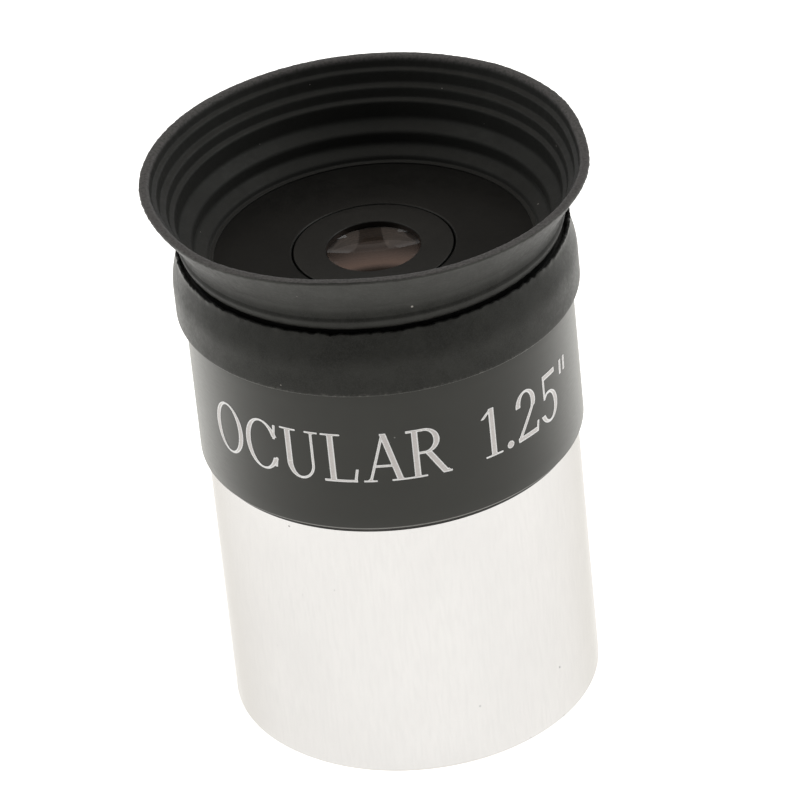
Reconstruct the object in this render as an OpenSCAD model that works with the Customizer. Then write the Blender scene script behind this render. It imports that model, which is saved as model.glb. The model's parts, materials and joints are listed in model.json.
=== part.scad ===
// Telescope eyepiece with a fold-down rubber eyecup, for 1.25 inch focusers.
// The origin is the centre of the barrel's mouth, and +Z points towards the eye.

/* [Barrel] */
// Outer diameter of the push-fit barrel
barrel_d = 31.7; // [31.6:0.02:31.74]
// Length of the barrel below the housing
barrel_h = 25.35; // [24:0.05:32]
// Bore of the barrel, which is the core diameter of its filter thread
bore_d = 27.9; // [27.7:0.05:28]
// Height of the filter thread's run-out above the mouth
thread_h = 4.6; // [3:0.1:6]
// Length of the male thread that screws into the housing
spigot_h = 4.8; // [4:0.1:4.9]

/* [Housing] */
// Outer diameter of the black housing
housing_d = 32.8; // [32.4:0.1:33.4]
// Height of the housing from its bottom edge to the eyecup's ledge
housing_h = 13.6; // [13:0.05:15]
// Diameter of the neck inside the rubber eyecup
neck_d = 30.4; // [30:0.1:31]
// Height of the neck from the ledge to the top plate's face
neck_h = 4.2; // [4:0.1:5]
// Thickness of the top plate
plate_t = 1.5; // [1.2:0.1:1.8]
// Diameter of the housing's inner chamber
chamber_d = 26.8; // [26:0.1:27]

/* [Eyecup] */
// Outer diameter of the rubber collar
collar_d = 34.2; // [33.8:0.1:35]
// Height of the collar from the ledge to its lip
collar_h = 5.75; // [5.5:0.05:6.3]
// Outer diameter of the cup's rim
rim_d = 38; // [37.5:0.1:39]
// Depth of the cup from its rim to the top plate
cup_depth = 7.85; // [7.5:0.05:9]
// Width of the rim's flat top
rim_w = 0.8; // [0.6:0.05:1]
// Inside diameter of the cup where it meets the top plate
cup_floor_d = 27; // [26.5:0.1:27.5]

/* [Optics] */
// Diameter of the four lens elements
lens_d = 11.8; // [11:0.1:12]
// Clear opening over the eye lens
eye_hole_d = 8; // [7:0.1:9]
// Depth of the eye lens's seat below the top plate's face
eye_recess = 0.55; // [0.4:0.05:0.8]
// Radius of the eye lens's outer face, which stands up into the opening
eye_face_r = 25; // [20:1:60]
// Clear opening of the field stop
stop_d = 8.6; // [7:0.1:10]
// Diameter of the lens cell's nose, seen in the top plate
nose_d = 13.5; // [13:0.1:14]

/* [Hidden] */
$fn = 128;
eps = 0.01;             // overshoot of a cut past the face it opens
slip = 0.1;             // difference of diameters of parts that go into each other
edge = 0.3;             // plain chamfer on turned edges

// Heights of the main faces
housing_z = barrel_h;
ledge_z = housing_z + housing_h;
plate_z = ledge_z + neck_h;
plate_under_z = plate_z - plate_t;
lip_z = ledge_z + collar_h;
rim_z = plate_z + cup_depth;

// Barrel
spigot_d = bore_d + 1.9;
mouth_chamfer = 0.4;
relief_h = 0.8;         // run-out groove above the filter thread
relief_d = bore_d + 0.9;
shadow_h = 0.3;         // fine groove under the housing
shadow_d = barrel_d - 0.5;
shadow_flank = 0.15;    // height of the groove's sloping lower side

// Housing
foot_chamfer = 0.4;     // chamfer on the bottom edge
socket_h = 5;
hole_slip = 0.3;        // ring-shaped gap seen around the lens cell's nose
seat_groove_h = 1.4;    // groove in the neck that holds the rubber
seat_groove_z = ledge_z + 1.35;
seat_groove_d = neck_d - 1.4;

// Eyecup
collar_wall_h = 3.05;   // upright part of the collar
collar_fillet = 0.25;
shoulder_h = 2;         // height of the shoulder between the upright part and the lip
shoulder_in = 0.32;
lip_in = 0.65;          // how far the lip lies inside the collar's diameter
moat_w = 0.85;          // open moat between the lip and the cup's wall
moat_h = 1.2;
moat_gap = 0.5;         // gap between the lip and the bulge above it
hinge_z = lip_z + 1.2;  // where the wall starts to fold
hinge_d = collar_d - 1.4;
bead_h = 0.8;           // height of the rim's bead
bead_z = rim_z - bead_h;
bead_wall = 1;

// Lens cell, from the eye down
eye_z = plate_z - eye_recess;
flint_t = 1.4;          // thickness of a flint on its axis
crown_t = 4.4;          // thickness of a crown on its axis
seat_clear = 0.01;      // keeps the eye lens's curved face just off the edge of its seat
crown_edge_t = 1.4;     // thickness of a crown at its edge
bond_r = 9.5;           // radius of the cemented surface
bond_sag = 1.8;
inner_r = 14;           // radius of the crowns' facing surfaces
inner_sag = crown_t - crown_edge_t - bond_sag;
air_gap = 0.5;          // gap on the axis between the two doublets
flint_edge_t = flint_t + bond_sag;
doublet_edge_t = flint_edge_t + crown_edge_t;
doublet_gap = air_gap + 2 * inner_sag;
face_sag = eye_face_r - sqrt(pow(eye_face_r, 2) - pow(eye_hole_d / 2, 2)) - seat_clear;
field_z = eye_z - 2 * doublet_edge_t - doublet_gap;
cell_d = 15.4;
cell_z = barrel_h - 2;
flange_d = chamber_d - 2 * slip;
flange_t = 1.5;
flange_z = plate_under_z - flange_t;
cell_thread_d = lens_d + 1.2;
retainer_t = 1.6;
retainer_d = lens_d - 2.4;
retainer_rise = 0.1;    // how far the retaining ring reaches past the field lens's lowest edge
thread_end = 0.2;       // length of the thread's bore above the retaining ring
spacer_wall = 0.7;
spacer_land = 0.2;      // width of the spacer's seat on a lens
lock_t = 1.75;
lock_d = cell_d + 1;
stop_t = 0.8;
stop_z = cell_z + 0.7;
slot_w = 1.2;           // spanner slots in the screwed rings
slot_depth = 0.7;

// A solid of revolution about the optical axis, from [radius, height] points
module turned(points) {
    rotate_extrude() polygon(points);
}

// A plain ring from height z up
module ring(d_out, d_in, z, h) {
    translate([0, 0, z]) difference() {
        cylinder(d = d_out, h = h);
        translate([0, 0, -eps]) cylinder(d = d_in, h = h + 2 * eps);
    }
}

// A screwed ring with two spanner slots across its lower face
module slotted_ring(d_out, d_in, z, h) {
    difference() {
        ring(d_out, d_in, z, h);
        translate([-d_out / 2 - eps, -slot_w / 2, z - eps])
            cube([d_out + 2 * eps, slot_w, slot_depth + eps]);
    }
}

// A spherical cap that stands on the plane at z, upwards for side 1 and downwards for -1
module lens_cap(z, radius, sag, side) {
    intersection() {
        translate([0, 0, z + side * (sag - radius)]) sphere(r = radius);
        translate([0, 0, side > 0 ? z : z - sag - eps]) cylinder(d = lens_d, h = sag + eps);
    }
}

// Outer element between z and z + flint_edge_t; its outer face domes past that by face_sag
module flint(z, side) {
    dome_z = side > 0 ? z + flint_edge_t + face_sag - eye_face_r : z - face_sag + eye_face_r;
    difference() {
        intersection() {
            translate([0, 0, side > 0 ? z : z - face_sag])
                cylinder(d = lens_d, h = flint_edge_t + face_sag);
            translate([0, 0, dome_z]) sphere(r = eye_face_r);
        }
        lens_cap(side > 0 ? z : z + flint_edge_t, bond_r, bond_sag, side);
    }
}

// Inner element, convex on both sides; its edge fills z to z + crown_edge_t
module crown(z, side) {
    union() {
        translate([0, 0, z]) cylinder(d = lens_d, h = crown_edge_t);
        lens_cap(side > 0 ? z + crown_edge_t : z, bond_r, bond_sag, side);
        lens_cap(side > 0 ? z : z + crown_edge_t, inner_r, inner_sag, -side);
    }
}

module barrel() {
    color("gainsboro") difference() {
        turned([
            [0, 0],
            [barrel_d / 2 - mouth_chamfer, 0],
            [barrel_d / 2, mouth_chamfer],
            [barrel_d / 2, barrel_h - shadow_h - shadow_flank],
            [shadow_d / 2, barrel_h - shadow_h],
            [shadow_d / 2, barrel_h],
            [spigot_d / 2, barrel_h],
            [spigot_d / 2, barrel_h + spigot_h - edge],
            [spigot_d / 2 - edge, barrel_h + spigot_h],
            [0, barrel_h + spigot_h]
        ]);
        translate([0, 0, -eps]) cylinder(d = bore_d, h = barrel_h + spigot_h + 2 * eps);
        translate([0, 0, thread_h]) cylinder(d = relief_d, h = relief_h);
        turned([
            [0, -eps],
            [bore_d / 2 + mouth_chamfer + eps, -eps],
            [bore_d / 2, mouth_chamfer],
            [0, mouth_chamfer]
        ]);
    }
}

module housing() {
    color("dimgray") difference() {
        turned([
            [0, housing_z],
            [housing_d / 2 - foot_chamfer, housing_z],
            [housing_d / 2, housing_z + foot_chamfer],
            [housing_d / 2, ledge_z],
            [neck_d / 2, ledge_z],
            [neck_d / 2, seat_groove_z],
            [seat_groove_d / 2, seat_groove_z],
            [seat_groove_d / 2, seat_groove_z + seat_groove_h],
            [neck_d / 2, seat_groove_z + seat_groove_h],
            [neck_d / 2, plate_z],
            [0, plate_z]
        ]);
        translate([0, 0, housing_z - eps]) cylinder(d = spigot_d + slip, h = socket_h + eps);
        translate([0, 0, housing_z]) cylinder(d = chamber_d, h = plate_under_z - housing_z);
        translate([0, 0, plate_under_z - eps])
            cylinder(d = nose_d + hole_slip, h = plate_t + 2 * eps);
    }
}

// Radius of the cup's inner wall at height z
function cup_in(z) = cup_floor_d / 2
    + (rim_d / 2 - rim_w - cup_floor_d / 2) * (z - plate_z) / cup_depth;

// The part of the rubber that grips the neck and never moves
module eyecup_collar() {
    r = collar_d / 2;
    lip_r = r - lip_in;
    color("darkslategray") turned([
        [neck_d / 2, ledge_z],
        [r - collar_fillet, ledge_z],
        [r, ledge_z + collar_fillet],
        [r, ledge_z + collar_wall_h],
        [r - shoulder_in, lip_z - shoulder_h / 2],
        [lip_r, lip_z],
        [lip_r - edge, lip_z],
        [lip_r - edge, lip_z - moat_h],
        [lip_r - moat_w, lip_z - moat_h],
        [lip_r - moat_w, lip_z],
        [hinge_d / 2 - edge, lip_z + moat_gap],
        [hinge_d / 2, lip_z + moat_gap + edge],
        [hinge_d / 2, hinge_z],
        [cup_in(hinge_z), hinge_z],
        [cup_floor_d / 2, plate_z],
        [neck_d / 2, plate_z],
        [neck_d / 2, seat_groove_z + seat_groove_h],
        [seat_groove_d / 2, seat_groove_z + seat_groove_h],
        [seat_groove_d / 2, seat_groove_z],
        [neck_d / 2, seat_groove_z]
    ]);
}

// The thin wall that turns inside out as the cup folds
module eyecup_skirt() {
    color("slategray") turned([
        [cup_in(hinge_z), hinge_z],
        [hinge_d / 2, hinge_z],
        [cup_in(bead_z) + bead_wall, bead_z],
        [cup_in(bead_z), bead_z]
    ]);
}

// The bead that rests round the eye, and travels down when the cup folds
module eyecup_rim() {
    soft = edge / 2;
    color("gray") turned([
        [cup_in(bead_z), bead_z],
        [cup_in(bead_z) + bead_wall, bead_z],
        [rim_d / 2, bead_z + 2 * soft],
        [rim_d / 2, rim_z - soft],
        [rim_d / 2 - soft, rim_z],
        [rim_d / 2 - rim_w, rim_z]
    ]);
}

module lens_cell() {
    color("darkgray") difference() {
        turned([
            [0, cell_z],
            [cell_d / 2, cell_z],
            [cell_d / 2, flange_z],
            [flange_d / 2, flange_z],
            [flange_d / 2, plate_under_z],
            [nose_d / 2, plate_under_z],
            [nose_d / 2, plate_z],
            [0, plate_z]
        ]);
        translate([0, 0, cell_z - eps])
            cylinder(d = cell_thread_d, h = field_z + retainer_rise + thread_end - cell_z + eps);
        translate([0, 0, cell_z]) cylinder(d = lens_d + slip, h = eye_z - cell_z);
        translate([0, 0, eye_z - eps]) cylinder(d = eye_hole_d, h = eye_recess + 2 * eps);
    }
}

module eye_flint() {
    color("lightblue") flint(eye_z - flint_edge_t, 1);
}

module eye_crown() {
    color("lightcyan") crown(eye_z - doublet_edge_t, 1);
}

module doublet_spacer() {
    low = field_z + doublet_edge_t;
    high = low + doublet_gap;
    color("silver") turned([
        [lens_d / 2 - spacer_wall, low + inner_sag / 3],
        [lens_d / 2 - spacer_land, low],
        [lens_d / 2, low],
        [lens_d / 2, high],
        [lens_d / 2 - spacer_land, high],
        [lens_d / 2 - spacer_wall, high - inner_sag / 3]
    ]);
}

module field_crown() {
    color("lightcyan") crown(field_z + flint_edge_t, -1);
}

module field_flint() {
    color("lightblue") flint(field_z, -1);
}

module lens_retainer() {
    color("black") slotted_ring(cell_thread_d - slip, retainer_d,
        field_z + retainer_rise - retainer_t, retainer_t);
}

module field_stop() {
    color("black") slotted_ring(cell_thread_d - slip, stop_d, stop_z, stop_t);
}

module cell_lock_ring() {
    color("black") slotted_ring(chamber_d - slip, lock_d, flange_z - lock_t, lock_t);
}

barrel();
housing();
eyecup_collar();
eyecup_skirt();
eyecup_rim();
lens_cell();
eye_flint();
eye_crown();
doublet_spacer();
field_crown();
field_flint();
lens_retainer();
field_stop();
cell_lock_ring();
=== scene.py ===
"""The looks of a telescope eyepiece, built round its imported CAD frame."""

import json
import math

import bmesh
import bpy
import numpy as np
from mathutils import Matrix, Vector


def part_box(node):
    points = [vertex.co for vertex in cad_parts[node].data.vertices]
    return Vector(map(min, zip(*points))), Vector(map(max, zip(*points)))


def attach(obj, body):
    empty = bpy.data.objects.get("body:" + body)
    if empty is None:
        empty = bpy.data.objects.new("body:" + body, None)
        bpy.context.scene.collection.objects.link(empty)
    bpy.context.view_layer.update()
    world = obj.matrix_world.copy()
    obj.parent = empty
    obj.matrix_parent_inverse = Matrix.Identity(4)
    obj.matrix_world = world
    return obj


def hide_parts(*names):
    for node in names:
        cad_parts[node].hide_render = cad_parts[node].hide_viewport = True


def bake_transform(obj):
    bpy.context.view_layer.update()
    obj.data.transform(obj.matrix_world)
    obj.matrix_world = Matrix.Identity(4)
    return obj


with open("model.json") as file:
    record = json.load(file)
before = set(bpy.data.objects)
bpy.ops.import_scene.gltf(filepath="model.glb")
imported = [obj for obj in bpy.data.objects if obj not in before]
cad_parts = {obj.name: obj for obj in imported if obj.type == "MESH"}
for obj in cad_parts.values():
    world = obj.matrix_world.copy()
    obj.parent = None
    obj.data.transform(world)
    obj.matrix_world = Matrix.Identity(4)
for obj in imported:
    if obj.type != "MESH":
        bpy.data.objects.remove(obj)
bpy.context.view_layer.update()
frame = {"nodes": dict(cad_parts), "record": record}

MM = 0.001                  # outlines below are in millimetres, as (radius, height)
SEGMENTS = 288              # sides of a turned piece
ARC_TURN = 0.26             # most that an arc turns between two points, in radians
ARC_STEP = 0.15             # most that an arc runs between two points


# ---------------------------------------------------------------- sizes from the frame

def low(node, axis=2):
    """Lowest coordinate of a CAD node, in millimetres."""
    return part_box(node)[0][axis] / MM


def high(node, axis=2):
    """Highest coordinate of a CAD node, in millimetres; along X it is the radius."""
    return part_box(node)[1][axis] / MM


def mount(name):
    """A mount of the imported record."""
    return next(m for m in frame["record"]["mounts"] if m["name"] == name)


BARREL_R = high("barrel", 0)
SPIGOT_Z = high("barrel")
CORE_R = mount("filter_thread")["dims"]["r_mm"]
HOUSING_R = high("housing", 0)
HOUSING_Z = low("housing")
PLATE_Z = high("housing")
COLLAR_R = high("eyecup_collar", 0)
LEDGE_Z = low("eyecup_collar")
HINGE_Z = high("eyecup_collar")
LIP_Z = HINGE_Z - 1.2       # the collar's loose upper edge
RIM_R = high("eyecup_rim", 0)
RIM_Z = high("eyecup_rim")
CELL_Z = low("lens_cell")
FLANGE_R = high("lens_cell", 0)
FLANGE_Z = high("cell_lock_ring")
LENS_R = high("eye_flint", 0)
EYE_Z = high("eye_flint")
FLINT_Z = low("eye_flint")
RETAINER_Z = high("lens_retainer")
CELL_THREAD_R = high("lens_retainer", 0)


# ---------------------------------------------------------------- outlines

def arc(corner, before, after, radius):
    """Points that round a corner between two straight runs, close enough to look smooth."""
    c, a, b = np.array(corner), np.array(before), np.array(after)
    to_a, to_b = a - c, b - c
    la, lb = np.linalg.norm(to_a), np.linalg.norm(to_b)
    to_a, to_b = to_a / la, to_b / lb
    half = math.acos(float(np.clip(to_a @ to_b, -1, 1))) / 2
    if radius <= 0 or half > math.radians(89):
        return [tuple(c)]
    run = min(radius / math.tan(half), la * 0.49, lb * 0.49)
    radius = run * math.tan(half)
    middle = c + (to_a + to_b) / np.linalg.norm(to_a + to_b) * radius / math.sin(half)
    start, end = c + to_a * run - middle, c + to_b * run - middle
    sweep = math.atan2(start[0] * end[1] - start[1] * end[0], start @ end)
    steps = max(math.ceil(abs(sweep) / ARC_TURN), math.ceil(abs(sweep) * radius / ARC_STEP))
    points = []
    for k in range(steps + 1):
        t = sweep * k / steps
        turn = np.array([[math.cos(t), -math.sin(t)], [math.sin(t), math.cos(t)]])
        points.append(tuple(middle + turn @ start))
    return points


def rounded(corners):
    """A closed outline from (radius, height, rounding) corners."""
    points = []
    for k, (r, z, fillet) in enumerate(corners):
        before = corners[k - 1][:2]
        after = corners[(k + 1) % len(corners)][:2]
        points += arc((r, z), before, after, fillet)
    return points


def resampled(points, step):
    """The closed outline with no stretch longer than step."""
    out = []
    for k, p in enumerate(points):
        q = points[(k + 1) % len(points)]
        parts = max(1, math.ceil(math.dist(p, q) / step))
        out += [(p[0] + (q[0] - p[0]) * i / parts, p[1] + (q[1] - p[1]) * i / parts) for i in range(parts)]
    return out


# ---------------------------------------------------------------- meshes

def new_object(name, vertices, faces, material, sharp=30):
    """A smooth-shaded mesh object whose edges over sharp degrees stay crisp."""
    mesh = bpy.data.meshes.new(name)
    mesh.from_pydata([tuple(v) for v in vertices], [], [tuple(f) for f in faces])
    mesh.materials.append(material)
    mesh.validate()
    obj = bpy.data.objects.new(name, mesh)
    bpy.context.scene.collection.objects.link(obj)
    for polygon in mesh.polygons:
        polygon.use_smooth = True
    mesh.set_sharp_from_angle(angle=math.radians(sharp))
    return obj


def weld(obj, sharp=30):
    """Joins vertices that coincide, such as those on the axis, and turns every face outwards."""
    work = bmesh.new()
    work.from_mesh(obj.data)
    bmesh.ops.remove_doubles(work, verts=work.verts, dist=1e-7)
    bmesh.ops.recalc_face_normals(work, faces=work.faces)
    work.to_mesh(obj.data)
    work.free()
    obj.data.set_sharp_from_angle(angle=math.radians(sharp))


def turned(name, outline, material, warp=None, segments=SEGMENTS, sharp=30):
    """Turns a closed outline of (radius, height) millimetres about the optical axis.
    warp(r, z, angle) may move the points of each ring."""
    points = np.array(outline, float)
    angles = np.arange(segments) * 2 * math.pi / segments
    r = np.repeat(points[:, :1], segments, 1)
    z = np.repeat(points[:, 1:], segments, 1)
    if warp:
        r, z = warp(r, z, np.repeat(angles[None, :], len(points), 0))
    grid = np.stack([r * np.cos(angles), r * np.sin(angles), z], 2) * MM
    faces = []
    count = len(points)
    for i in range(count):
        j = (i + 1) % count
        if points[i, 0] < 1e-6 and points[j, 0] < 1e-6:
            continue
        for k in range(segments):
            m = (k + 1) % segments
            faces.append((i * segments + k, i * segments + m, j * segments + m, j * segments + k))
    obj = new_object(name, grid.reshape(-1, 3), faces, material, sharp)
    weld(obj, sharp)
    return obj


def ripple(seed, waves, size):
    """A smooth closed function of angle, with the given wave counts and a size in millimetres."""
    random = np.random.RandomState(seed)
    phases = random.uniform(0, 2 * math.pi, len(waves))
    sizes = random.uniform(0.4, 1.0, len(waves)) * size / math.sqrt(len(waves))
    return lambda angle: sum(s * np.sin(n * angle + p) for n, p, s in zip(waves, phases, sizes))


def swell(angle, centre, width):
    """A smooth bump of height 1 round one direction; the angles are in degrees."""
    away = np.degrees(angle) - centre
    away = (away + 180) % 360 - 180
    return np.exp(-(away / width) ** 2)


# ---------------------------------------------------------------- materials

class Nodes:
    """A short way to build the nodes of a material or of the world."""

    def __init__(self, tree, place):
        self.tree = tree
        self.place = self.add("ShaderNodeTexCoord").outputs[place]

    def add(self, kind, **settings):
        node = self.tree.nodes.new(kind)
        for key, value in settings.items():
            setattr(node, key, value)
        return node

    def put(self, slot, value):
        """Links a socket to an input, or sets the input to a number or a colour."""
        if hasattr(value, "is_linked"):
            self.tree.links.new(value, slot)
        elif isinstance(value, (tuple, list)) and slot.type == "RGBA":
            slot.default_value = (*value, 1.0)[:4]
        else:
            slot.default_value = value

    def scaled(self, factors):
        """The coordinates stretched by a factor along each axis."""
        node = self.add("ShaderNodeMapping")
        self.put(node.inputs["Scale"], factors)
        self.put(node.inputs["Vector"], self.place)
        return node.outputs["Vector"]

    def noise(self, size_mm, detail=3.0, vector=None, roughness=0.5):
        """Noise with features of about size_mm."""
        node = self.add("ShaderNodeTexNoise")
        self.put(node.inputs["Scale"], 1 / (size_mm * MM))
        self.put(node.inputs["Detail"], detail)
        self.put(node.inputs["Roughness"], roughness)
        self.put(node.inputs["Vector"], vector or self.place)
        return node.outputs["Fac"]

    def range(self, value, from_low, from_high, to_low, to_high):
        """Maps a value from one range to another, smoothly and clamped."""
        node = self.add("ShaderNodeMapRange", interpolation_type="SMOOTHSTEP")
        self.put(node.inputs["Value"], value)
        for key, number in zip(("From Min", "From Max", "To Min", "To Max"),
                               (from_low, from_high, to_low, to_high)):
            self.put(node.inputs[key], number)
        return node.outputs["Result"]

    def math(self, operation, a, b=0.0):
        node = self.add("ShaderNodeMath", operation=operation)
        self.put(node.inputs[0], a)
        self.put(node.inputs[1], b)
        return node.outputs[0]

    def mix(self, factor, a, b):
        """Mixes two colours."""
        node = self.add("ShaderNodeMix", data_type="RGBA")
        for slot, value in ((node.inputs[0], factor), (node.inputs[6], a), (node.inputs[7], b)):
            self.put(slot, value)
        return node.outputs[2]

    def bump(self, height, depth_mm, strength=1.0, below=None):
        """A normal bent by a height field of depth_mm."""
        node = self.add("ShaderNodeBump")
        self.put(node.inputs["Strength"], strength)
        self.put(node.inputs["Distance"], depth_mm * MM)
        self.put(node.inputs["Height"], height)
        if below is not None:
            self.put(node.inputs["Normal"], below)
        return node.outputs["Normal"]

    def specks(self, cell_mm, share, radius):
        """Small round specks: 1 inside one, 0 outside; share of the cells hold one."""
        cells = self.add("ShaderNodeTexVoronoi", feature="F1")
        self.put(cells.inputs["Scale"], 1 / (cell_mm * MM))
        self.put(cells.inputs["Vector"], self.place)
        inside = self.range(cells.outputs["Distance"], radius * 0.5, radius, 1.0, 0.0)
        split = self.add("ShaderNodeSeparateColor")
        self.put(split.inputs[0], cells.outputs["Color"])
        return self.math("MULTIPLY", inside, self.math("LESS_THAN", split.outputs[0], share))

    def height(self):
        """Height of the shaded point, in metres."""
        split = self.add("ShaderNodeSeparateXYZ")
        self.put(split.inputs[0], self.place)
        return split.outputs["Z"]


class Finish(Nodes):
    """A material with one principled shader."""

    def __init__(self, name):
        self.material = bpy.data.materials.new(name)
        self.material.use_nodes = True
        super().__init__(self.material.node_tree, "Object")
        self.shader = self.tree.nodes["Principled BSDF"]

    def set(self, **inputs):
        """Sets shader inputs; underscores in a name stand for spaces."""
        for key, value in inputs.items():
            self.put(self.shader.inputs[key.replace("_", " ")], value)
        return self.material


OLIVE = (1.0, 1.0, 0.93)    # the blacks shine a little warm
FOLD_TURN = 1.43            # the eyecup's fold and the end of its dulled band that paints in shade, above the collar's lip
FOLD_END = 3.2


def shade(colour, factor):
    return tuple(c * factor for c in colour)


def chrome():
    """Bright chrome plate with faint polishing lines, tiny pits and a soft bloom."""
    n = Finish("chrome_plate")
    bright = (0.654, 0.644, 0.635)
    cloud = n.noise(5.0, detail=4)
    streaks = n.noise(0.30, detail=4, vector=n.scaled((1, 1, 0.15)))
    fine = n.noise(0.12, detail=2)
    tone = n.mix(n.range(cloud, 0.3, 0.7, 0, 1), shade(bright, 0.975), bright)
    tone = n.mix(n.range(streaks, 0.35, 0.75, 0, 0.5), tone, shade(bright, 0.93))
    tone = n.mix(n.range(fine, 0.35, 0.75, 0, 0.4), tone, shade(bright, 0.93))
    pits = n.math("MAXIMUM", n.specks(2.4, 0.10, 0.055), n.specks(0.9, 0.03, 0.08))
    tone = n.mix(n.math("MULTIPLY", pits, 0.75), tone, (0.16, 0.155, 0.15))
    lines = n.noise(0.4, detail=5, vector=n.scaled((1, 1, 10)))
    rough = n.range(lines, 0.3, 0.7, 0.16, 0.24)
    return n.set(Base_Color=tone, Metallic=1.0, Roughness=rough, Normal=n.bump(lines, 0.002, 0.3),
                 Specular_Tint=(0.77, 0.76, 0.74))


def painted_edge_highlight(n, gain):
    """A painted edge highlight: 1 where a surface faces the eye, rising steeply to 1 + gain where it is
    seen edge-on.
    """
    facing = n.add("ShaderNodeLayerWeight").outputs["Facing"]
    return n.math("ADD", 1.0, n.math("MULTIPLY", n.math("POWER", facing, 4.0), gain))


def anodised(name, base, rough, gloss, painted_highlight_gain=0.0):
    """Satin black anodised aluminium: fine blasted grain over faint turning lines, with a painted highlight
    on edges seen edge-on where a gain for it is given.
    """
    n = Finish(name)
    grain = n.noise(0.09, detail=2)
    cloud = n.noise(4.0, detail=3)
    turning = n.noise(0.35, detail=4, vector=n.scaled((0.4, 0.4, 9)))
    tone = n.mix(n.range(cloud, 0.3, 0.7, 0, 1), base, shade(base, 1.3))
    dots = n.specks(2.2, 0.05, 0.04)
    tone = n.mix(n.math("MULTIPLY", dots, 0.3), tone, (0.45, 0.45, 0.43))
    shine = n.range(turning, 0.3, 0.7, rough - 0.03, rough + 0.05)
    relief = n.bump(turning, 0.003, 0.2, below=n.bump(grain, 0.004, 0.3))
    return n.set(Base_Color=tone, Roughness=shine, Normal=relief,
                 Specular_IOR_Level=n.math("MULTIPLY", painted_edge_highlight(n, painted_highlight_gain), gloss), Specular_Tint=OLIVE)


def rubber():
    """Matt black rubber: fine moulded grain, pale bloom, inner faces painted lighter against the shade in
    the cup, a worn rim, a fold dulled as painted shade, and dust at its foot.
    """
    n = Finish("moulded_rubber")
    cloud = n.noise(2.2, detail=5, roughness=0.62)
    grain = n.noise(0.10, detail=3)
    patch = n.noise(0.35, detail=4, roughness=0.65)
    height = n.height()
    outer = outer_side(n)
    tone = n.mix(n.range(cloud, 0.3, 0.7, 0, 1), (0.0140, 0.0139, 0.0124), (0.0240, 0.0240, 0.0216))
    tone = n.mix(n.range(grain, 0.35, 0.75, 0, 0.7), tone, (0.0330, 0.0330, 0.0305))
    tone = n.mix(n.range(patch, 0.45, 0.7, 0, 0.5), tone, (0.0350, 0.0350, 0.0325))
    # painted light: the faces inside the cup get a lighter tone, which lifts the shade inside the cup
    tone = n.mix(outer, n.mix(0.6, tone, (0.043, 0.043, 0.039)), tone)
    tone = n.mix(worn_rim(n, height, outer), tone, (0.125, 0.118, 0.113))
    tone = dusted(n, height, tone)
    rough = n.math("ADD", n.range(patch, 0.3, 0.7, 0.42, 0.55), n.range(cloud, 0.3, 0.7, 0.05, 0.0))
    relief = n.bump(cloud, 0.03, 0.25, below=n.bump(patch, 0.010, 0.4, below=n.bump(grain, 0.012, 0.5)))
    return n.set(Base_Color=tone, Roughness=rough, Normal=relief,
                 Specular_IOR_Level=rubber_gloss(n, height, outer), Specular_Tint=OLIVE)


def worn_rim(n, height, outer):
    """How worn the rubber is: most on top of the rim, with the wear reaching further down inside."""
    worn = n.range(height, (RIM_Z - 0.50) * MM, (RIM_Z - 0.05) * MM, 0, 1)
    worn = n.math("MULTIPLY", worn, n.math("SUBTRACT", 1.0, outer))
    worn = n.math("MAXIMUM", worn, n.range(height, (RIM_Z - 0.11) * MM, (RIM_Z - 0.02) * MM, 0, 1))
    return n.math("MULTIPLY", worn, n.range(n.noise(0.25, detail=4), 0.3, 0.65, 0.45, 1))


def dusted(n, height, tone):
    """The tone with pale dust along the collar's foot and a few specks all over."""
    foot = n.range(height, (LEDGE_Z + 0.1) * MM, (LEDGE_Z + 0.45) * MM, 1, 0)
    foot = n.math("MULTIPLY", foot, n.range(n.noise(0.35, detail=4), 0.45, 0.7, 0, 1))
    tone = n.mix(n.math("MULTIPLY", foot, 0.25), tone, (0.25, 0.24, 0.22))
    specks = n.math("MAXIMUM", n.specks(2.3, 0.16, 0.055), n.specks(0.8, 0.04, 0.08))
    return n.mix(n.math("MULTIPLY", specks, 0.7), tone, (0.50, 0.47, 0.43))


def rubber_gloss(n, height, outer):
    """Glossier on the wall than on the collar, duller inside, and duller in a band by the fold that paints
    in the crease's shade; the collar gets a painted highlight edge-on.
    """
    # painted shade: the gloss drops to a quarter in a band at the fold, fading out up the wall, and drops
    # about halfway on the outside below it
    above = n.range(height, (LIP_Z + FOLD_TURN) * MM, (LIP_Z + FOLD_END) * MM, 1, 0)
    below = n.range(height, (LIP_Z + 0.8) * MM, (LIP_Z + 1.35) * MM, 0.6, 1)
    fold = n.math("MULTIPLY", n.math("MULTIPLY", above, below), outer)
    gloss = n.range(height, (LIP_Z - 0.2) * MM, (LIP_Z + 0.2) * MM, 0.30, 0.37)
    gloss = n.math("MULTIPLY", gloss, n.range(outer, 0, 1, 0.52, 1))
    # painted highlight: the collar's gloss rises steeply where it is seen edge-on
    gloss = n.math("MULTIPLY", gloss, painted_edge_highlight(n, n.range(height, (LIP_Z - 0.2) * MM, LIP_Z * MM, 10, 0)))
    return n.math("MULTIPLY", gloss, n.math("SUBTRACT", 1.0, n.math("MULTIPLY", fold, 0.75)))


def outer_side(n):
    """1 where a turned surface faces away from the axis, 0 where it faces the axis."""
    place = n.add("ShaderNodeTexCoord")
    level = n.add("ShaderNodeVectorMath", operation="MULTIPLY")
    n.put(level.inputs[0], place.outputs["Normal"])
    n.put(level.inputs[1], (1, 1, 0))
    along = n.add("ShaderNodeVectorMath", operation="DOT_PRODUCT")
    n.put(along.inputs[0], level.outputs[0])
    n.put(along.inputs[1], place.outputs["Object"])
    return n.range(along.outputs["Value"], -1 * MM, 2 * MM, 0, 1)


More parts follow.
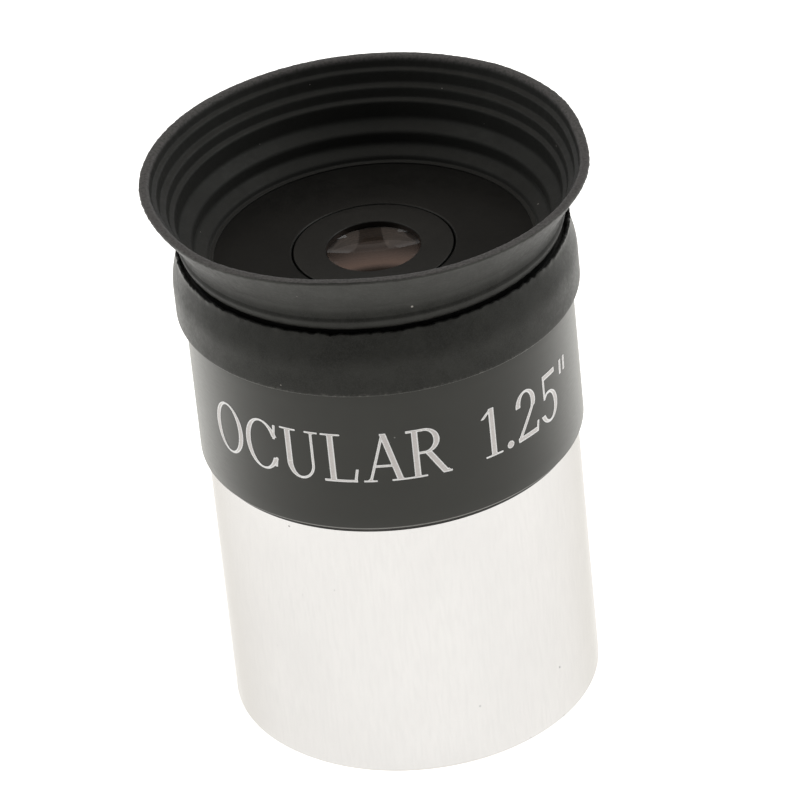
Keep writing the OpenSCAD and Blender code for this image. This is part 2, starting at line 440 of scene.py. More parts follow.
def paint(name, tone):
    """Paint wiped into engraved letters."""
    n = Finish(name)
    grain = n.noise(0.15, detail=3)
    colour = n.mix(n.range(grain, 0.3, 0.7, 0, 1), shade(tone, 0.9), tone)
    return n.set(Base_Color=colour, Roughness=0.5, Normal=n.bump(grain, 0.01, 0.3))


def coated_glass():
    """The eye lens: a coated face over a brown depth, with the fainter shine of a hollow inner face."""
    n = Finish("coated_glass")
    film = n.noise(1.6, detail=2)
    tone = n.mix(n.range(film, 0.3, 0.7, 0, 1), (0.043, 0.0315, 0.0240), (0.050, 0.0370, 0.0280))
    dust = n.specks(1.1, 0.06, 0.035)
    tone = n.mix(n.math("MULTIPLY", dust, 0.3), tone, (0.4, 0.36, 0.33))
    split = n.add("ShaderNodeSeparateXYZ")
    n.put(split.inputs[0], n.place)
    join = n.add("ShaderNodeCombineXYZ")
    for axis in (0, 1):
        n.put(join.inputs[axis], n.math("DIVIDE", split.outputs[axis], -INNER_FACE_R * MM))
    n.put(join.inputs[2], 1.0)
    inner = n.add("ShaderNodeVectorMath", operation="NORMALIZE")
    n.put(inner.inputs[0], join.outputs[0])
    return n.set(Base_Color=tone, Roughness=0.04, IOR=2.4, Specular_Tint=(1.0, 0.72, 0.62),
                 Normal=n.bump(film, 0.0005, 0.1), Coat_Weight=1.0, Coat_Roughness=0.03,
                 Coat_IOR=1.34, Coat_Normal=inner.outputs[0])


def clear_glass():
    """Plain optical glass for the elements that are hidden in the cell."""
    n = Finish("optical_glass")
    tone = n.mix(n.range(n.noise(2.0), 0.3, 0.7, 0, 1), (0.93, 0.96, 0.95), (0.96, 0.98, 0.97))
    return n.set(Base_Color=tone, Roughness=0.02, IOR=1.52, Transmission_Weight=1.0)


# ---------------------------------------------------------------- the chromed barrel

PITCH = 0.6                 # filter thread M28.5 x 0.6
THREAD_DEPTH = 0.3
THREAD_FROM = 0.55          # the groove fades in from this height above the mouth
THREAD_IN = 0.5             # over this length
THREAD_TO = 4.5             # and has faded out here
THREAD_OUT = 0.4            # over this length
THREAD_FOOT = 0.4           # the threaded bore starts here
THREAD_END = 4.6            # and ends at this relief
RELIEF_TOP = 5.4
RELIEF_DEPTH = 0.45
SPIGOT_R = 14.9             # the barrel's top goes up into the housing's socket
SPIGOT_TIP_R = 14.6
SOCKET_R = 14.95
GROOVE_DEPTH = 0.14         # a shallow groove just under the housing


def cut_thread(r, z, angle):
    """Sinks a helical groove with sloping sides and flat crests into the bore near the mouth."""
    turn = (z / PITCH - angle / (2 * math.pi)) % 1.0
    groove = np.clip(3.2 * np.abs(turn - 0.5) - 0.3, 0, 1)
    fade = np.clip((z - THREAD_FROM) / THREAD_IN, 0, 1) * np.clip((THREAD_TO - z) / THREAD_OUT, 0, 1)
    bore = np.abs(r - CORE_R) < 0.02
    return r + bore * groove * fade * THREAD_DEPTH, z


def make_barrel(outside, inside, groove):
    """The chromed tube: black inside above its mouth, and dark grey in the groove under the housing, a
    painted shade for the gap there.
    """
    grip = mount("barrel")
    grip_top = grip["pos_m"][2] / MM + grip["dims"]["length_mm"] / 2
    corners = [
        (CORE_R + 0.4, 0, 0.05),
        (BARREL_R - 0.4, 0, 0.12),
        (BARREL_R, 0.4, 0.25),
        (BARREL_R, grip_top, 0.06),
        (BARREL_R - GROOVE_DEPTH, grip_top + 0.12, 0.05),
        (BARREL_R - GROOVE_DEPTH, HOUSING_Z, 0.03),
        (SPIGOT_R, HOUSING_Z, 0.03),
        (SPIGOT_R, SPIGOT_Z - 0.3, 0.05),
        (SPIGOT_TIP_R, SPIGOT_Z, 0.05),
        (CORE_R, SPIGOT_Z, 0.1),
        (CORE_R, RELIEF_TOP, 0),
        (CORE_R + RELIEF_DEPTH, RELIEF_TOP, 0.05),
        (CORE_R + RELIEF_DEPTH, THREAD_END, 0.05),
        (CORE_R, THREAD_END, 0),
    ]
    outline = rounded(corners)
    rows = 96
    thread = [(CORE_R, THREAD_END + (THREAD_FOOT - THREAD_END) * k / rows) for k in range(1, rows + 1)]
    barrel = turned("barrel_tube", outline + thread, outside, warp=cut_thread, segments=240)
    paint_faces(barrel, inside, lambda r, z: r < CORE_R + 0.5 and z > 0.45)
    # painted shade: the groove's faces take a dark grey that stands in for the shade of the gap under the
    # housing
    paint_faces(barrel, groove, lambda r, z: r > CORE_R + 0.5 and z > grip_top + 0.03)
    return dress(barrel, "body", "barrel_chrome", "barrel")


def paint_faces(obj, material, test):
    """Gives another material to the faces whose centre passes test(radius, height) in millimetres."""
    obj.data.materials.append(material)
    for polygon in obj.data.polygons:
        centre = polygon.center / MM
        if test(math.hypot(centre.x, centre.y), centre.z):
            polygon.material_index = len(obj.data.materials) - 1


def dress(obj, body, slot, *nodes):
    """Makes a piece ride on its body and stand for its CAD nodes."""
    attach(obj, body)
    if nodes:
        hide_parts(*nodes)
    return obj


# ---------------------------------------------------------------- the black housing

CHAMBER_R = FLANGE_R + 0.1
NECK_R = 15.2               # the eyecup's collar sits on this neck
NOSE_HOLE_R = 6.9           # hole in the top plate for the lens cell's nose
PLATE_THICK = 1.5
SOCKET_DEPTH = 5
SEAT_FROM = 1.35            # a groove in the neck, above the ledge
SEAT_TO = 2.75
SEAT_DEPTH = 0.7


def make_housing(material, plate):
    """The black housing, its neck and its top plate, which has a duller finish."""
    socket_top = HOUSING_Z + SOCKET_DEPTH
    corners = [
        (SOCKET_R, HOUSING_Z, 0.08),
        (HOUSING_R - 0.22, HOUSING_Z, 0.05),
        (HOUSING_R, HOUSING_Z + 0.25, 0.10),
        (HOUSING_R, LEDGE_Z, 0.15),
        (NECK_R, LEDGE_Z, 0.1),
        (NECK_R, LEDGE_Z + SEAT_FROM, 0.05),
        (NECK_R - SEAT_DEPTH, LEDGE_Z + SEAT_FROM, 0.05),
        (NECK_R - SEAT_DEPTH, LEDGE_Z + SEAT_TO, 0.05),
        (NECK_R, LEDGE_Z + SEAT_TO, 0.05),
        (NECK_R, PLATE_Z, 0.15),
        (NOSE_HOLE_R, PLATE_Z, 0.18),
        (NOSE_HOLE_R, PLATE_Z - PLATE_THICK, 0.05),
        (CHAMBER_R, PLATE_Z - PLATE_THICK, 0.1),
        (CHAMBER_R, socket_top, 0.1),
        (SOCKET_R, socket_top, 0.1),
    ]
    housing = turned("housing_body", resampled(rounded(corners), 1.2), material)
    paint_faces(housing, plate, lambda r, z: z > LEDGE_Z + 0.2 or r < HOUSING_R - 0.6)
    return dress(housing, "body", "housing_black", "housing")


# ---------------------------------------------------------------- lettering

LETTER_TALL = 4.7           # height of the capitals
LETTER_FOOT = 30.2          # height of their foot
LETTER_EDGE = 0.09          # width of the brighter outline
LETTER_PROUD = 0.02         # how far the paint stands out of the housing
LETTER_GRID = 0.055         # size of the cells that the letters are cut from
LETTER_ROOT = 0.05          # how far the letters reach into the housing
STEM = 0.112                # widths of thick and thin strokes, in heights of a capital
HAIR = 0.05
WORD_FROM = -62             # where the word and the size start, in degrees to the right of -Y
SIZE_FROM = 26


def box(x, y, x0, x1, y0, y1):
    """How far a point lies outside an upright rectangle, below zero inside; the next shapes do the same."""
    return np.maximum(np.maximum(x0 - x, x - x1), np.maximum(y0 - y, y - y1))


def slant(x, y, x0, x1, wide, y0=0.0, y1=1.0):
    """A slanting stroke from (x0, y0) up to (x1, y1), cut level at both ends."""
    run, rise = x1 - x0, y1 - y0
    off = ((x - x0) * rise - (y - y0) * run) / math.hypot(run, rise)
    return np.maximum(np.abs(off) - wide / 2, np.maximum(y0 - y, y - y1))


def ring(x, y, cx, cy, rx, ry, side, cap):
    """An oval ring, side thick at its sides and cap thick at its top and foot."""
    def oval(a, b):
        return (np.hypot((x - cx) / a, (y - cy) / b) - 1) * min(a, b)
    return np.maximum(oval(rx, ry), -oval(rx - side, ry - cap))


def serif(x, y, cx, at, wide, up):
    """A thin bar across the end of a stroke, with a small bracket on the side that up points to."""
    thick, tall = 0.035, 0.1
    bar = box(x, y, cx - wide / 2, cx + wide / 2, min(at, at + thick * up), max(at, at + thick * up))
    reach = (y - at) * up
    bracket = np.abs(x - cx) - wide / 2 * (1 - reach / tall) ** 2
    bracket = np.maximum(bracket, np.maximum(-reach, reach - tall))
    return np.minimum(bar, bracket)


def union(*shapes):
    """The shapes taken together."""
    return np.minimum.reduce(shapes)


# Letters and digits are drawn in heights of a capital, from the left end of their foot.

def letter_o(x, y):
    return ring(x, y, 0.38, 0.5, 0.38, 0.52, STEM, HAIR * 0.8)


def letter_c(x, y):
    bowl = ring(x, y, 0.38, 0.5, 0.38, 0.52, STEM, HAIR * 0.8)
    bowl = np.maximum(bowl, -box(x, y, 0.58, 1, 0.28, 0.72))
    tips = union(slant(x, y, 0.66, 0.69, HAIR, 0.68, 0.98), slant(x, y, 0.66, 0.69, HAIR, 0.10, 0.30))
    return union(bowl, tips)


def letter_u(x, y):
    bend = np.maximum(ring(x, y, 0.38, 0.3, 0.27, 0.32, STEM, HAIR), y - 0.32)
    bend = np.maximum(bend, 0.11 - x)
    left = union(box(x, y, 0.11, 0.11 + STEM, 0.3, 1), serif(x, y, 0.17, 1, 0.32, -1))
    right = union(box(x, y, 0.65 - HAIR, 0.65, 0.3, 1), serif(x, y, 0.63, 1, 0.25, -1))
    fill = np.maximum(ring(x, y, 0.38, 0.3, 0.27, 0.32, HAIR, HAIR), np.maximum(0.4 - x, y - 0.32))
    return union(np.maximum(bend, x - 0.42), left, right, fill)


def letter_l(x, y):
    stem = union(box(x, y, 0.13, 0.13 + STEM, 0, 1), serif(x, y, 0.19, 1, 0.36, -1))
    foot = union(box(x, y, 0.02, 0.62, 0, HAIR), slant(x, y, 0.58, 0.63, HAIR, 0, 0.27))
    return union(stem, foot)


def letter_a(x, y):
    legs = union(slant(x, y, 0.12, 0.40, HAIR), slant(x, y, 0.66, 0.40, STEM))
    feet = union(serif(x, y, 0.12, 0, 0.24, 1), serif(x, y, 0.66, 0, 0.32, 1))
    return union(legs, feet, box(x, y, 0.22, 0.56, 0.30, 0.30 + HAIR))


def letter_r(x, y):
    stem = union(box(x, y, 0.12, 0.12 + STEM, 0, 1), serif(x, y, 0.18, 0, 0.34, 1))
    bowl = np.maximum(ring(x, y, 0.34, 0.74, 0.28, 0.26, STEM, HAIR), 0.3 - x)
    bars = union(box(x, y, 0.02, 0.34, 1 - HAIR, 1), box(x, y, 0.2, 0.34, 0.48, 0.48 + HAIR))
    leg = union(slant(x, y, 0.70, 0.40, STEM, 0, 0.5), serif(x, y, 0.74, 0, 0.2, 1))
    return union(stem, bowl, bars, leg)


def digit_1(x, y):
    stem = union(box(x, y, 0.2, 0.2 + STEM, 0, 1), serif(x, y, 0.26, 0, 0.36, 1))
    return union(stem, slant(x, y, 0.06, 0.24, HAIR, 0.82, 0.98))


def point(x, y):
    """A round full stop."""
    return np.hypot(x - 0.1, y - 0.07) - 0.075


def digit_2(x, y):
    middle = 0.27
    hook = ring(x, y, middle, 0.72, 0.25, 0.28, STEM, HAIR)
    hook = np.maximum(hook, np.where(x < middle, 0.70 - y, 0.60 - y))
    body = slant(x, y, 0.06, 0.47, HAIR * 1.4, 0.05, 0.66)
    foot = union(box(x, y, 0.03, 0.53, 0, 0.10), slant(x, y, 0.52, 0.56, HAIR, 0, 0.22))
    return union(hook, body, foot)


def digit_5(x, y):
    bowl = ring(x, y, 0.26, 0.31, 0.27, 0.32, STEM, HAIR)
    bowl = np.maximum(bowl, -box(x, y, -1, 0.16, 0.2, 1))
    return union(bowl, box(x, y, 0.1, 0.1 + HAIR, 0.5, 1), box(x, y, 0.1, 0.5, 0.9, 1))


def inch_mark(x, y):
    return union(slant(x, y, 0.08, 0.10, 0.07, 0.72, 1), slant(x, y, 0.24, 0.26, 0.07, 0.72, 1))


def letters(glyphs):
    """One field for a row of glyphs, each given with its width, and the width of the row."""
    places = np.cumsum([0] + [wide for _, wide in glyphs])

    def field(x, y):
        return union(*(glyph(x - at, y) for (glyph, _), at in zip(glyphs, places)))
    return field, float(places[-1])


def outline_cells(field, wide, tall):
    """The parts of a grid's cells that lie inside a field: points in millimetres, and faces."""
    columns, rows = math.ceil(wide / LETTER_GRID), math.ceil(tall / LETTER_GRID)
    xs, ys = np.arange(columns + 1) * LETTER_GRID, np.arange(-3, rows + 4) * LETTER_GRID
    gx, gy = np.meshgrid(xs, ys, indexing="ij")
    value = field(gx / LETTER_TALL, gy / LETTER_TALL) * LETTER_TALL
    points, known, faces, rim = [], {}, [], []

    def vertex(key, x, y):
        if key not in known:
            known[key] = len(points)
            points.append((x, y))
        return known[key]

    busy = np.minimum.reduce([value[:-1, :-1], value[1:, :-1], value[1:, 1:], value[:-1, 1:]]) < 0
    for i, j in zip(*np.nonzero(busy)):
        corners = [(i, j), (i + 1, j), (i + 1, j + 1), (i, j + 1)]
        face, cut = [], []
        for a, b in zip(corners, corners[1:] + corners[:1]):
            va, vb = value[a], value[b]
            if va < 0:
                face.append(vertex(a, xs[a[0]], ys[a[1]]))
            if (va < 0) != (vb < 0):
                t = va / (va - vb)
                x, y = xs[a[0]] + (xs[b[0]] - xs[a[0]]) * t, ys[a[1]] + (ys[b[1]] - ys[a[1]]) * t
                face.append(vertex(tuple(sorted((a, b))), x, y))
                cut.append(face[-1])
        if len(face) > 2:
            middle = field(*(np.array([(xs[i] + xs[i + 1]) / 2, (ys[j] + ys[j + 1]) / 2]) / LETTER_TALL))
            faces.append((face, middle * LETTER_TALL > -LETTER_EDGE))
            if len(cut) == 2:
                rim.append(cut)
    return points, faces, rim


def engraving(name, glyphs, from_angle, outline, fill):
    """Filled letters round the housing; from_angle is in degrees to the right of -Y."""
    field, wide = letters(glyphs)
    points, faces, rim = outline_cells(field, wide * LETTER_TALL, LETTER_TALL)
    vertices = []
    for r in (HOUSING_R + LETTER_PROUD, HOUSING_R - LETTER_ROOT):
        for x, y in points:
            angle = math.radians(from_angle - 90) + x / HOUSING_R
            vertices.append((r * math.cos(angle) * MM, r * math.sin(angle) * MM, (LETTER_FOOT + y) * MM))
    under = len(points)
    front = [face for face, _ in faces]
    behind = [[under + v for v in reversed(face)] for face in front]
    sides = [(a, b, b + under, a + under) for a, b in rim]
    obj = new_object(name, vertices, front + behind + sides, outline, sharp=20)
    obj.data.materials.append(fill)
    for polygon, (_, edge) in zip(obj.data.polygons, faces):
        polygon.material_index = 0 if edge else 1
    weld(obj, sharp=20)
    dress(obj, "body", "marking_paint")


def make_lettering():
    """A generic word and the barrel's size, in white paint with a brighter edge."""
    outline = paint("paint_edge", (0.88, 0.87, 0.86))
    fill = paint("paint_fill", (0.64, 0.605, 0.585))
    word = ((letter_o, 0.85), (letter_c, 0.80), (letter_u, 0.80), (letter_l, 0.73), (letter_a, 0.79),
            (letter_r, 0.80))
    size = ((digit_1, 0.52), (point, 0.26), (digit_2, 0.66), (digit_5, 0.64), (inch_mark, 0.4))
    engraving("lettering_word", word, WORD_FROM, outline, fill)
    engraving("lettering_size", size, SIZE_FROM, outline, fill)


# ---------------------------------------------------------------- the rubber eyecup

CUP_FLOOR_R = 13.5


def eyecup_outline():
    """Closed outline of the whole moulding: up the outside, over the rim and down the steps inside."""
    lip_r = COLLAR_R - 0.65
    outside = [
        (NECK_R, LEDGE_Z, 0),
        (COLLAR_R, LEDGE_Z, 0.22),
        (COLLAR_R, LEDGE_Z + 3.15, 5.5),
        (lip_r, LIP_Z, 0.10),
        (lip_r - 0.25, LIP_Z - 0.03, 0.10),
        (lip_r - 0.3, LIP_Z - 0.9, 0.15),
        (lip_r - 0.85, LIP_Z - 0.9, 0.2),
        (lip_r - 0.85, LIP_Z - 0.1, 0.25),
        (lip_r - 0.28, LIP_Z + 0.42, 0.5),
        (lip_r - 0.06, LIP_Z + 1.08, 0.3),
        (lip_r - 0.17, LIP_Z + FOLD_TURN, 0.12),
        (lip_r - 0.03, LIP_Z + 2.35, 2.2),
        (RIM_R - 0.07, RIM_Z - 0.35, 0.1),
        (RIM_R, RIM_Z - 0.22, 0.05),
        (RIM_R, RIM_Z, 0.20),
        (RIM_R - 0.80, RIM_Z, 0.36),
    ]
    steps = [                   # outer and inner end of each step's tread, from the rim down
        (18.0, 50.12, 17.6, 49.95),
        (17.45, 48.95, 16.9, 48.72),
        (16.75, 47.88, 16.3, 47.68),
        (16.2, 46.15, 15.05, 45.38),
        (15.0, 44.3, 13.95, 43.68),
        (13.85, 43.32, CUP_FLOOR_R, 43.27),
    ]
    inside = []
    for outer_r, outer_z, inner_r, inner_z in steps:
        wide = outer_r - inner_r
        inside.append((outer_r, outer_z, 0.35 * wide))
        inside.append((inner_r, inner_z, 0.12 + 0.25 * wide))
    foot = [
        (CUP_FLOOR_R, PLATE_Z + 0.02, 0),
        (NECK_R, PLATE_Z + 0.02, 0),
    ]
    return resampled(rounded(outside + inside + foot), 0.16)


def soften_rubber(r, z, angle):
    """Gives the soft moulding its small waves, its torn lip and the places where its rim is pressed in."""
    lip = np.exp(-((z - LIP_Z) / 0.3) ** 2) * (np.abs(r - (COLLAR_R - 0.75)) < 0.35)
    z = z + lip * (ripple(3, range(9, 120, 5), 0.08)(angle) + ripple(8, range(90, 200, 7), 0.05)(angle))
    wide = 0.26 * swell(angle, 5, 30) + 0.12 * swell(angle, 185, 35)
    r = r + lip * (wide + ripple(4, range(40, 200, 9), 0.05)(angle))
    cup = np.clip((z - HINGE_Z) / (RIM_Z - HINGE_Z), 0, 1)
    z = z + cup * np.clip(ripple(5, (2, 3, 5, 8), 0.04)(angle), -1, 0)
    dents = (                   # direction and width in degrees, and how far the rim is pushed out
        (6, 17, -0.41),
        (49, 10, 0.10),
        (90, 45, 0.08),
        (196, 12, -0.12),
        (-97, 17, -0.40),
        (-112, 40, -0.08),
        (-136, 10, 0.13),
    )
    pressed = sum(push * swell(angle, centre, width) for centre, width, push in dents)
    r = r + cup ** 1.5 * (pressed + ripple(7, range(30, 200, 9), 0.03)(angle))
    return r, z


def make_eyecup(material):
    """One moulding from the part that stays on the housing up to the rim that travels on the real eyecup;
    it is built in one fixed shape.
    """
    cup = turned("eyecup", eyecup_outline(), material, warp=soften_rubber, segments=432, sharp=50)
    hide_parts("eyecup_collar", "eyecup_skirt", "eyecup_rim")
    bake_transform(cup)
    return cup


# ---------------------------------------------------------------- lens cell and eye lens

EYE_HOLE_R = 4.0
CELL_R = 7.7                # outside of the cell's tube
FACE_R = 25.0               # radius of the eye lens's outer face
INNER_FACE_R = 7.0          # radius of the inner face that shines through it


def make_lens_cell(material):
    """The turned tube that holds the lenses: its nose in the top plate, and the seat of the eye lens."""
    seat_z = EYE_Z - FACE_R + math.sqrt(FACE_R ** 2 - EYE_HOLE_R ** 2)
    nose_r = NOSE_HOLE_R - 0.13
    shoulder_z = PLATE_Z - PLATE_THICK - 0.02
    corners = [
        (CELL_THREAD_R + 0.05, CELL_Z, 0.1),
        (CELL_R, CELL_Z, 0.15),
        (CELL_R, FLANGE_Z, 0.1),
        (FLANGE_R, FLANGE_Z, 0.1),
        (FLANGE_R, shoulder_z, 0.1),
        (nose_r, shoulder_z, 0.05),
        (nose_r, PLATE_Z, 0.07),
        (EYE_HOLE_R + 0.05, PLATE_Z, 0.02),
        (EYE_HOLE_R, PLATE_Z - 0.05, 0.02),
        (EYE_HOLE_R, seat_z + 0.02, 0.02),
        (LENS_R + 0.05, seat_z + 0.02, 0.02),
        (LENS_R + 0.05, RETAINER_Z + 0.1, 0.02),
        (CELL_THREAD_R + 0.05, RETAINER_Z + 0.1, 0.02),
    ]
    cell = turned("lens_cell_body", resampled(rounded(corners), 1.2), material, segments=192)
    return dress(cell, "body", "cell_black", "lens_cell")


def make_eye_lens(material):
    """The outer element of the eye doublet, with its domed face and its cemented hollow."""
    bond_r, bond_sag = 9.5, 1.8
    shares = [k / 24 for k in range(25)]
    face_z = EYE_Z - FACE_R
    dome = [(LENS_R * (1 - t), face_z + math.sqrt(FACE_R ** 2 - (LENS_R * (1 - t)) ** 2)) for t in shares]
    bond_z = FLINT_Z + bond_sag - bond_r
    inner_r = LENS_R * 0.995
    hollow = [(inner_r * t, bond_z + math.sqrt(bond_r ** 2 - (inner_r * t) ** 2)) for t in shares]
    edge = [(LENS_R, FLINT_Z + 0.05)]
    lens = turned("eye_lens", dome + hollow + edge, material, segments=128)
    return dress(lens, "body", "lens_glass", "eye_flint")


# ---------------------------------------------------------------- studio

def make_camera():
    """A long lens above the front of the object, turned a little about its own axis."""
    elevation, roll = math.radians(32.27), math.radians(-5.99)
    aim = Vector((0.87, 0.0, 27.66)) * MM
    distance = 591.5 * MM
    data = bpy.data.cameras.new("camera")
    data.lens, data.sensor_width = 312.5, 36.0
    data.clip_start, data.clip_end = 0.01, 50
    camera = bpy.data.objects.new("camera", data)
    turn = Matrix.Rotation(math.pi / 2 - elevation, 4, "X") @ Matrix.Rotation(roll, 4, "Z")
    back = Vector((0, -math.cos(elevation), math.sin(elevation)))
    camera.matrix_world = Matrix.Translation(aim + back * distance) @ turn
    bpy.context.scene.collection.objects.link(camera)
    bpy.context.scene.camera = camera


FLOOR_GLOW = 1.20           # light that the table gives off
SIDE_GLOW = 0.06            # how much more it gives off in a ring beside and behind the object
LEFT_GLOW = 0.16            # how much more again on its left
RING_IN = (42, 85)          # the ring grows brighter between these distances, in millimetres
RING_OUT = (100, 160)       # and fades between these
FLOOR_TONE = 0.38           # reflectance of the table
FRONT_EDGE = (0.42, 0.65)   # where the lit table fades out in front, in metres
TENT_LIGHT = 1.05           # radiance of the white sweep behind and beside the table
TENT_TOP = 0.45             # radiance overhead
TENT_OPENING = 0.08         # radiance of the open front, where the photographer stands
WINDOW_GLOW = 0.86          # how much two tall windows above and behind the object outshine the rest
PANEL_GLOW = 0.58           # how much a panel between them does


def make_floor():
    """A pale light table: dark in the barrel's mouth, a little brighter in a ring beside and behind the
    object, and fading out far in front."""
    n = Finish("studio_white")
    away = n.add("ShaderNodeVectorMath", operation="LENGTH")
    n.put(away.inputs[0], n.place)
    away = away.outputs["Value"]
    split = n.add("ShaderNodeSeparateXYZ")
    n.put(split.inputs[0], n.place)
    across, depth = split.outputs["X"], split.outputs["Y"]
    mouth = n.range(away, (CORE_R - 0.3) * MM, CORE_R * MM, 0.0, 1.0)
    front = n.range(depth, -FRONT_EDGE[1], -FRONT_EDGE[0], 0.0, 1.0)
    more = n.range(depth, -45 * MM, 10 * MM, 0.0, SIDE_GLOW)
    more = n.math("ADD", more, n.range(across, -110 * MM, -10 * MM, LEFT_GLOW, 0.0))
    near = n.range(away, RING_IN[0] * MM, RING_IN[1] * MM, 0.0, 1.0)
    near = n.math("MULTIPLY", near, n.range(away, RING_OUT[0] * MM, RING_OUT[1] * MM, 1.0, 0.0))
    glow = n.math("MULTIPLY", n.math("MULTIPLY", mouth, front), FLOOR_GLOW)
    glow = n.math("MULTIPLY", glow, n.math("ADD", 1.0, n.math("MULTIPLY", more, near)))
    tone = n.mix(front, (0.05, 0.05, 0.05), shade((1.0, 0.994, 0.98), FLOOR_TONE))
    n.set(Base_Color=tone, Roughness=0.9, Specular_IOR_Level=0.1,
          Emission_Color=(1.0, 0.99, 0.965), Emission_Strength=glow)
    size = 6.0
    corners = [(-size, -size, 0), (size, -size, 0), (size, size, 0), (-size, size, 0)]
    floor = new_object("floor", corners, [(0, 1, 2, 3)], n.material)


def between(n, value, start, end, soft):
    """1 where value lies between start and end, 0 outside, with soft edges."""
    rise = n.range(value, start - soft, start + soft, 0, 1)
    fall = n.range(value, end - soft, end + soft, 1, 0)
    return n.math("MULTIPLY", rise, fall)


def sine(degrees):
    """How high a direction this many degrees above the horizon points, on a sphere of radius 1."""
    return math.sin(math.radians(degrees))


def cloth(n, across, level):
    """Radiance of the tent's cloth: bright near the horizon, dimmer overhead and on the left."""
    sky = n.range(level, sine(12), sine(38), TENT_LIGHT, TENT_TOP)
    side = n.range(across, -0.9, 0.2, 0.84, 1.0)
    side = n.math("MAXIMUM", side, n.range(level, 0.05, 0.25, 1.0, 0.0))
    return n.math("MULTIPLY", sky, side)


def open_front(n):
    """1 on the cloth, falling to TENT_OPENING round the camera's side."""
    aim = math.radians(36)
    towards = n.add("ShaderNodeVectorMath", operation="DOT_PRODUCT")
    n.put(towards.inputs[0], n.place)
    n.put(towards.inputs[1], (0, -math.cos(aim), math.sin(aim)))
    edge, core = math.cos(math.radians(70)), math.cos(math.radians(28))
    return n.range(towards.outputs["Value"], edge, core, 1.0, TENT_OPENING)


def shades(n, turn, level, middle):
    """What two grey shades let through: a wide one high up behind, and a dark one between the windows."""
    wide = between(n, turn, math.radians(-75), math.radians(75), 0.1)
    wide = n.math("MULTIPLY", wide, n.range(level, sine(24), sine(34), 0.0, 0.62))
    dark = n.math("MULTIPLY", middle, between(n, level, sine(21), sine(62), 0.03))
    dark = n.math("MULTIPLY", dark, 0.85)
    return n.math("MULTIPLY", n.math("SUBTRACT", 1.0, wide), n.math("SUBTRACT", 1.0, dark))


def windows(n, across, depth, level):
    """1 inside two tall windows behind the object, which fade towards their foot."""
    left = between(n, across, -0.50, -0.17, 0.012)
    right = between(n, across, 0.225, 0.52, 0.012)
    tall = n.math("MULTIPLY", n.range(level, sine(24), sine(28), 0, 1), n.range(depth, 0.02, 0.08, 0, 1))
    tall = n.math("MULTIPLY", tall, n.range(level, sine(26), sine(60), 0.4, 1))
    return n.math("MULTIPLY", n.math("MAXIMUM", left, right), tall)


def make_tent():
    """A white tent: bright all round the table, dimmer overhead and nearly dark at its open front."""
    world = bpy.data.worlds.new("tent")
    world.use_nodes = True
    bpy.context.scene.world = world
    n = Nodes(world.node_tree, "Generated")
    split = n.add("ShaderNodeSeparateXYZ")
    n.put(split.inputs[0], n.place)
    across, depth, level = (split.outputs[axis] for axis in "XYZ")
    turn = n.math("ARCTAN2", across, depth)
    middle = between(n, turn, math.radians(-17), math.radians(17), 0.02)
    panes = windows(n, across, depth, level)
    panel = n.math("MULTIPLY", middle, n.range(level, sine(27), sine(46), 0, 1))
    panel = n.math("MULTIPLY", panel, n.range(level, sine(41), sine(46), 1, 0))
    sky = n.math("MULTIPLY", cloth(n, across, level), open_front(n))
    sky = n.math("MULTIPLY", sky, shades(n, turn, level, middle))
    sky = n.math("ADD", sky, n.math("MULTIPLY", panes, WINDOW_GLOW))
    sky = n.math("ADD", sky, n.math("MULTIPLY", panel, PANEL_GLOW))
    lit = n.math("MINIMUM", n.math("ADD", panes, panel), 1.0)
    background = world.node_tree.nodes["Background"]
    n.put(background.inputs["Color"], n.mix(lit, (0.97, 0.985, 1.0), (1.0, 0.88, 0.80)))
    n.put(background.inputs["Strength"], sky)


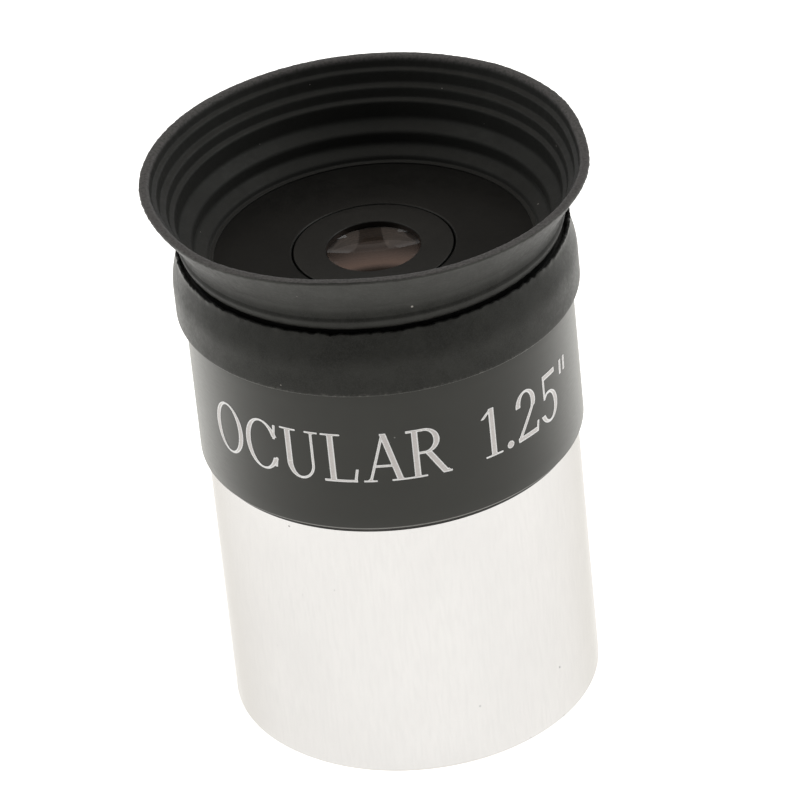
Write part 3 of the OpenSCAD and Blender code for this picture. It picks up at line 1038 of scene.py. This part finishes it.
def soft_box(name, azimuth, elevation, distance, wide, tall, power):
    """An area light that faces the object; azimuth 0 is behind it, and 90 to its right."""
    a, e = math.radians(azimuth), math.radians(elevation)
    out = Vector((math.sin(a) * math.cos(e), math.cos(a) * math.cos(e), math.sin(e)))
    data = bpy.data.lights.new(name, "AREA")
    data.shape, data.size, data.size_y, data.energy = "RECTANGLE", wide, tall, power
    data.color = (0.93, 0.97, 1.0)
    lamp = bpy.data.objects.new(name, data)
    lamp.visible_camera = False
    lamp.matrix_world = (Matrix.Translation(Vector((0, 0, 0.04)) + out * distance)
                         @ out.to_track_quat("Z", "Y").to_matrix().to_4x4())
    bpy.context.scene.collection.objects.link(lamp)


def make_light():
    make_tent()
    soft_box("left_box", -75, 48, 1.1, 0.5, 0.5, 1.2)
    soft_box("right_box", 75, 48, 1.1, 0.5, 0.5, 2.0)
    bpy.context.scene.view_settings.view_transform = "Standard"


# ---------------------------------------------------------------- the scene

make_camera()
make_floor()
make_light()

BLACK = (0.0075, 0.0075, 0.0066)
# the housing gets a painted highlight where its sides are seen edge-on
housing_black = anodised("anodised_black", BLACK, 0.33, 0.42, painted_highlight_gain=8.0)
plate_black = anodised("plate_black", BLACK, 0.42, 0.33)
# painted shade: a dark grey for the groove under the housing, standing in for the gap's shade
groove_dull = anodised("groove_dull", (0.130, 0.126, 0.120), 0.5, 0.5)
cell_black = anodised("cell_black", shade(BLACK, 1.3), 0.42, 0.50)
ring_black = anodised("ring_black", BLACK, 0.45, 0.35)
glass = clear_glass()

FINISH = {
    "lens_retainer": ring_black,
    "field_stop": ring_black,
    "cell_lock_ring": ring_black,
    "doublet_spacer": ring_black,
    "eye_crown": glass,
    "field_crown": glass,
    "field_flint": glass,
}
for node, finish in FINISH.items():
    part = frame["nodes"][node]
    if not part.material_slots:
        part.data.materials.append(finish)
    for place in part.material_slots:
        place.material = finish

make_barrel(chrome(), ring_black, groove_dull)
make_housing(housing_black, plate_black)
make_lettering()
make_eyecup(rubber())
make_lens_cell(cell_black)
make_eye_lens(coated_glass())
